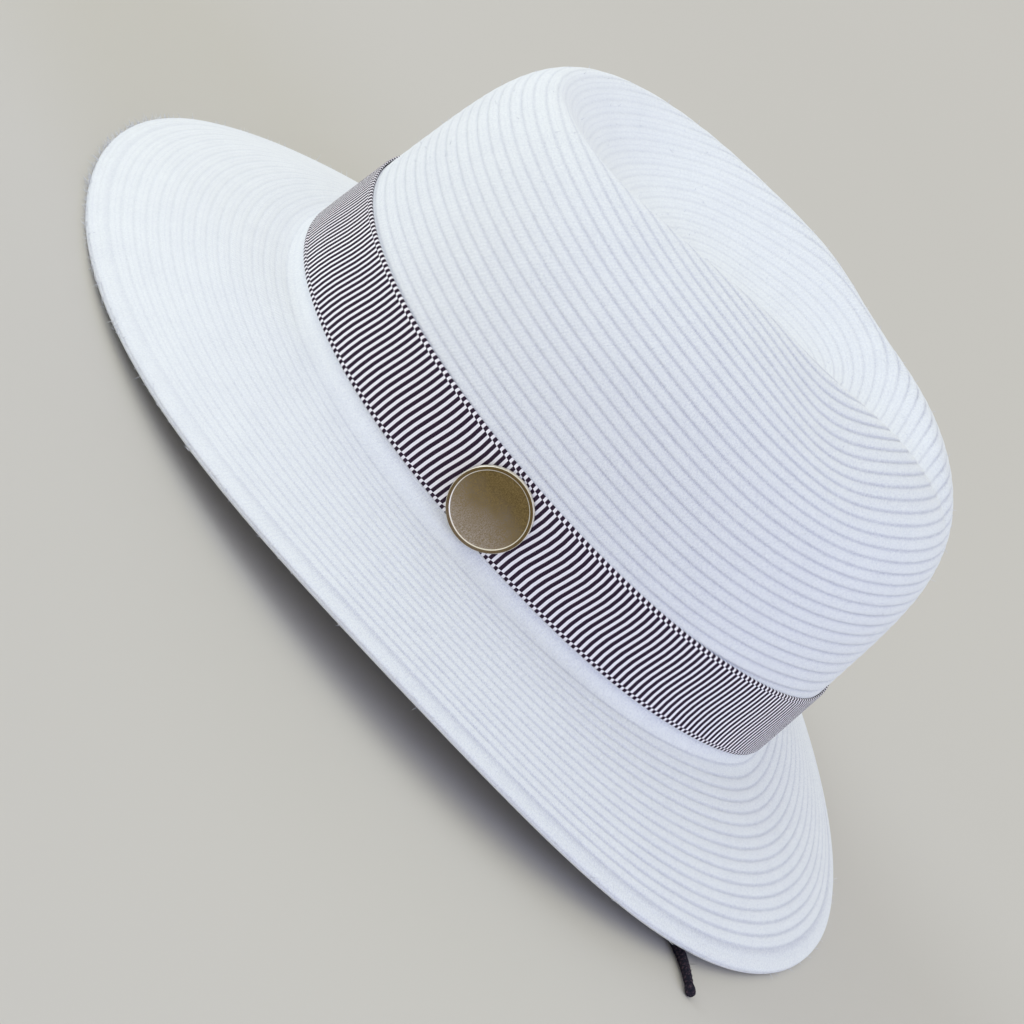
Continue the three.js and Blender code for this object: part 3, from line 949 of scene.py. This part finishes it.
def stripeWander(angle, share):
    # how far a stripe runs off its square course, in pairs of stripes: it leans one
    # way in the middle and turns back near the upper edge
    lean = 0.18 * np.sin(3 * angle + 0.7) + 0.12 * np.sin(7 * angle + 2.1) + 0.08 * np.sin(13 * angle)
    curl = (1.4 + 0.5 * np.sin(4 * angle)) * np.sin(2 * np.pi * share) / (2 * np.pi)
    return lean * np.sin(np.pi * share) + 0.5 * share - curl + 0.12 * np.sin(5 * angle + 4 * share)


def addRibbon():
    count = ribbon["pairs"] * ribbon["columnsPerPair"]
    even = evenAngles(count)
    share = np.array([0, 0.02, 0.08, 0.2, 0.35, 0.5, 0.65, 0.8, 0.92, 0.98, 1.0])
    pitch = 2 * np.pi / ribbon["pairs"]
    angle = even[None, :] + pitch * stripeWander(even[None, :], share[:, None])
    stripe = np.arange(count) / ribbon["columnsPerPair"]
    rib = np.abs(np.sin(2 * np.pi * stripe))[None, :] ** 0.6 - 0.6
    edge = np.minimum(share, 1 - share)[:, None]
    rise = hat["bandWidth"] * share[:, None] + 0 * angle
    full = ribbon["fullness"] * (1 - (2 * share[:, None] - 1) ** 2)
    outside = ribbon["gap"] + ribbon["thickness"] + full
    outside = outside + ribbon["ribRelief"] * rib * np.minimum(edge / 0.02, 1) - 0.00015 * (edge < 0.01)
    inside = ribbon["gap"] + full

    # the hidden inside needs only every fifth ring
    down = slice(None, None, -5)
    points = np.concatenate([wallAt(angle, rise, inside)[down], wallAt(angle, rise, outside)])
    v = np.concatenate([share[down], share])
    rows = np.stack([v, np.roll(v, -1)], 1)
    piece = gridPiece("striped_ribbon", points, np.full(len(points), ribbon["pairs"]), rows, closed=True)
    finishPiece(piece, ribbonMaterial(), "grosgrain_ribbon", "ribbon_band")


def ribbonMaterial():
    material, start = startMaterial("striped_grosgrain")
    u, v, _ = weaveMap(start)
    place = placeInHat(start)
    grain = place.noise(2500, 2, 0.6)
    column = ribbon["checkWidth"] / hat["bandWidth"]
    blur = ribbon["checkBlur"]
    # in the outermost column of checks the stripes change places
    upper = v.rise(1 - column - blur, 1 - column + blur)
    second = v.rise(1 - 2 * column - blur, 1 - 2 * column + blur) - upper
    lower = v.rise(column + blur, column - blur)
    swap = upper + lower
    phase = (u + swap * 0.5).fraction()
    light = (phase - 0.5).size().rise(*ribbon["stripeEdge"])
    fleck = (u * 4 * math.pi + v * 300).sine() * 0.5 + 0.5
    darkPaint = (fleck * 0.06 + grain * 0.08).blend(srgb(ribbon["dark"]), srgb(ribbon["darkWorn"]))
    lightPaint = (grain * 0.3).blend(srgb(ribbon["light"]), srgb(ribbon["lightWorn"]))
    colour = light.blend(darkPaint, lightPaint)
    height = grain * 0.5 + second * 0.2
    settings = {"Base Color": colour, "Roughness": 0.8, "Specular IOR Level": 0.15}
    return endMaterial(material, start, settings, height, 0.00006)


addRibbon()


# The sweatband: a plain woven tape inside the head opening.
sweatband = {
    "drop": 0.002,
    "height": 0.026,
    "thickness": 0.001,
    "clearance": 0.0008,
    "columns": 288,
    "wefts": 520,
    "warps": 26,
    "cloth": "#DDDBD6",
    "stitch": "#F4F3F0",
}


def addSweatband():
    columns = sweatband["columns"]
    angle = np.arange(columns) / columns * 2 * np.pi
    share = np.array([0, 0.015, 0.04, 0.1, 0.13, 0.16, 0.4, 0.7, 0.84, 0.87, 0.9, 0.96, 1.0])
    dent = np.array([0, 0.9, 1, 1, 0.55, 1, 1, 1, 1, 0.55, 1, 0.9, 0])  # pulled in along its seams
    rise = sweatband["height"] * share[:, None] - sweatband["drop"] + 0 * angle
    half = sweatband["thickness"] / 2
    middle = -hat["strawThickness"] - sweatband["clearance"] - half
    plump = half * (0.25 + 0.75 * dent)[:, None]
    inner = wallAt(angle, rise, middle - plump)
    outer = wallAt(angle, rise, middle + plump)
    points = np.concatenate([inner[::-1], outer])
    v = np.concatenate([share[::-1], share])
    rows = np.stack([v, np.roll(v, -1)], 1)
    piece = gridPiece("cloth_sweatband", points, np.full(len(points), sweatband["wefts"]), rows, closed=True)
    finishPiece(piece, clothMaterial(), "sweatband_cloth", "sweatband")


def clothMaterial():
    material, start = startMaterial("sweatband_cloth")
    u, v, _ = weaveMap(start)
    grain = placeInHat(start).noise(900, 3, 0.6)
    weft = (u * 2 * math.pi).sine()
    warp = (v * sweatband["warps"] * 2 * math.pi).sine()
    weave = (weft * warp) * 0.5 + 0.5
    shade = weave * 0.35 + grain * 0.3
    colour = shade.blend(srgb(sweatband["stitch"]), srgb(sweatband["cloth"]))
    settings = {"Base Color": colour, "Roughness": 0.9}
    return endMaterial(material, start, settings, weave + grain * 0.5, 0.0001)


addSweatband()


# The badge: a plain round disc of antique brass with a raised rim.
badge = {
    "diameter": 0.0242,
    "thickness": 0.0016,
    "rimWidth": 0.0012,
    "rimHeight": 0.00035,
    "angle": -94.5,
    "height": 0.011,
    "lean": 1.0,
    "standOff": 0.00036,
    "sides": 128,
    "dome": 0.0004,
    "face": "#8A7446",
    "paleReflection": "#C2B4A6",
    # colour of the painted reflection that makes the face paler towards its lower edge
    "paintedGlint": "#F8F0DE",
    # colour of the painted highlights on the rim's corners
    "dark": "#4A3B20",
    "rimShade": "#6B5632",
}


def addBadge():
    radius = badge["diameter"] / 2
    rim = badge["thickness"] + badge["rimHeight"]
    face = badge["thickness"]
    inner = radius - badge["rimWidth"]
    profile = np.array([  # reach from the axis, height above the back
        (0.0, 0.0), (radius - 0.0004, 0.0), (radius - 0.00012, 0.00012), (radius, 0.0004),
        (radius, rim - 0.00035), (radius - 0.00008, rim - 0.00012), (radius - 0.0003, rim),
        (inner + 0.00035, rim), (inner + 0.00015, rim - 0.00008), (inner, face + 0.00008),
        (inner - 0.0002, face),
    ])
    # the face inside the rim is a low dome
    dome = np.linspace(0.92, 0, 9)
    dome = np.stack([inner * dome, face + badge["dome"] * (1 - dome**2)], -1)
    profile = np.concatenate([profile, dome])
    turn = badge["angle"] * math.pi / 180
    small = 0.01
    near = np.array([turn - small, turn + small])
    places = wallAt(near, badge["height"])
    along = unit(places[1] - places[0])
    square = np.array((along[1], -along[0], 0))
    lean = math.radians(badge["lean"])
    facing = square * math.cos(lean) + np.array((0, 0, math.sin(lean)))
    upward = np.cross(facing, along) * -1
    foot = wallAt(np.array([turn]), badge["height"])[0]
    foot = foot + square * (ribbon["gap"] + ribbon["thickness"] + ribbon["fullness"] + badge["standOff"])
    a = np.arange(badge["sides"]) / badge["sides"] * 2 * np.pi
    ring = along[None] * np.cos(a)[:, None] - upward[None] * np.sin(a)[:, None]
    points = foot + ring[None] * profile[:, :1, None] + facing * profile[:, 1:, None]
    v = profile[:, 0] / radius
    rows = np.stack([v[:-1], v[1:]], 1)
    piece = gridPiece("brass_badge", points, np.ones(len(points) - 1), rows)
    finishPiece(piece, brassMaterial(), "antique_brass", "badge")


def brassMaterial():
    material, start = startMaterial("antique_brass")
    _, v, _ = weaveMap(start)
    place = placeInHat(start)
    grain = place.noise(3000, 3, 0.7)
    stain = place.noise(140, 3, 0.6)
    inner = 1 - badge["rimWidth"] / (badge["diameter"] / 2)
    _, _, height = place.parts()
    # painted reflection makes it paler towards its lower edge, broken up by stains; painted highlights lie
    # along its rim's two corners
    low = (height - (hat["footHeight"] + badge["height"])) / (badge["diameter"] / 2)
    # painted reflection: paler towards the lower edge, blotched by the stains
    paleReflection = (0 - low + (stain - 0.5)).rise(-0.6, 1.2)
    speck = grain.rise(0.38, 0.62)
    colour = (speck * 0.55 + stain.rise(0.4, 0.75) * 0.2).blend(srgb(badge["face"]), srgb(badge["dark"]))
    colour = (paleReflection * (0.25 + speck * 0.75)).least(1).blend(colour, srgb(badge["paleReflection"]))
    onRim = v.rise(inner + 0.012, inner + 0.020)
    colour = (onRim * 0.75).blend(colour, srgb(badge["rimShade"]))
    # painted highlights along the rim's inner corner and its outer edge
    innerCorner = v.rise(inner - 0.008, inner + 0.002) * v.rise(inner + 0.022, inner + 0.012)
    paintedGlint = innerCorner + v.rise(0.984, 0.992)
    colour = paintedGlint.least(1).blend(colour, srgb(badge["paintedGlint"]))
    settings = {"Base Color": colour, "Metallic": 0.8, "Roughness": 0.46 + grain * 0.2 - paintedGlint * 0.1}
    return endMaterial(material, start, settings, grain, 0.00005)


addBadge()
